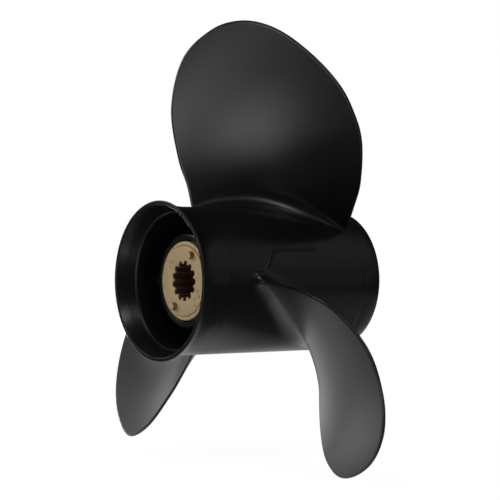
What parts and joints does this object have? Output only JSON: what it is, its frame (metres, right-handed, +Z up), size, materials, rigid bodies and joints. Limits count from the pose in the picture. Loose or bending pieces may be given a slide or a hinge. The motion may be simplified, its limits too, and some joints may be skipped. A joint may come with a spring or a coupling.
{
  "type": "outboard propeller",
  "caption": "Right-hand outboard propeller: raked blades on a hollow barrel with a flared aft ring, and a splined brass sleeve in a rubber bushing.",
  "frame": {"origin": "on the shaft's axis, in the plane where the blades' centre lines leave the barrel, 55.3 mm forward of the aft rim", "axes": "+Y forward along the shaft, out of the front end; +Z up; +X to the right as seen from the aft end"},
  "size_m": [0.2687, 0.1273, 0.2551],
  "materials": {
    "black_paint": "satin",
    "rubber": "matte",
    "brass": "satin"
  },
  "bodies": {
    "root": {"blade_1": "black_paint", "blade_2": "black_paint", "blade_3": "black_paint", "outer_barrel": "black_paint", "flare_ring": "black_paint", "front_collar": "black_paint", "inner_hub": "black_paint", "rib_1": "black_paint", "rib_2": "black_paint", "rib_3": "black_paint", "rubber_bushing": "rubber", "drive_sleeve": "brass", "end_ring": "brass", "pin_1": "brass", "pin_2": "brass"}
  },
  "joints": []
}
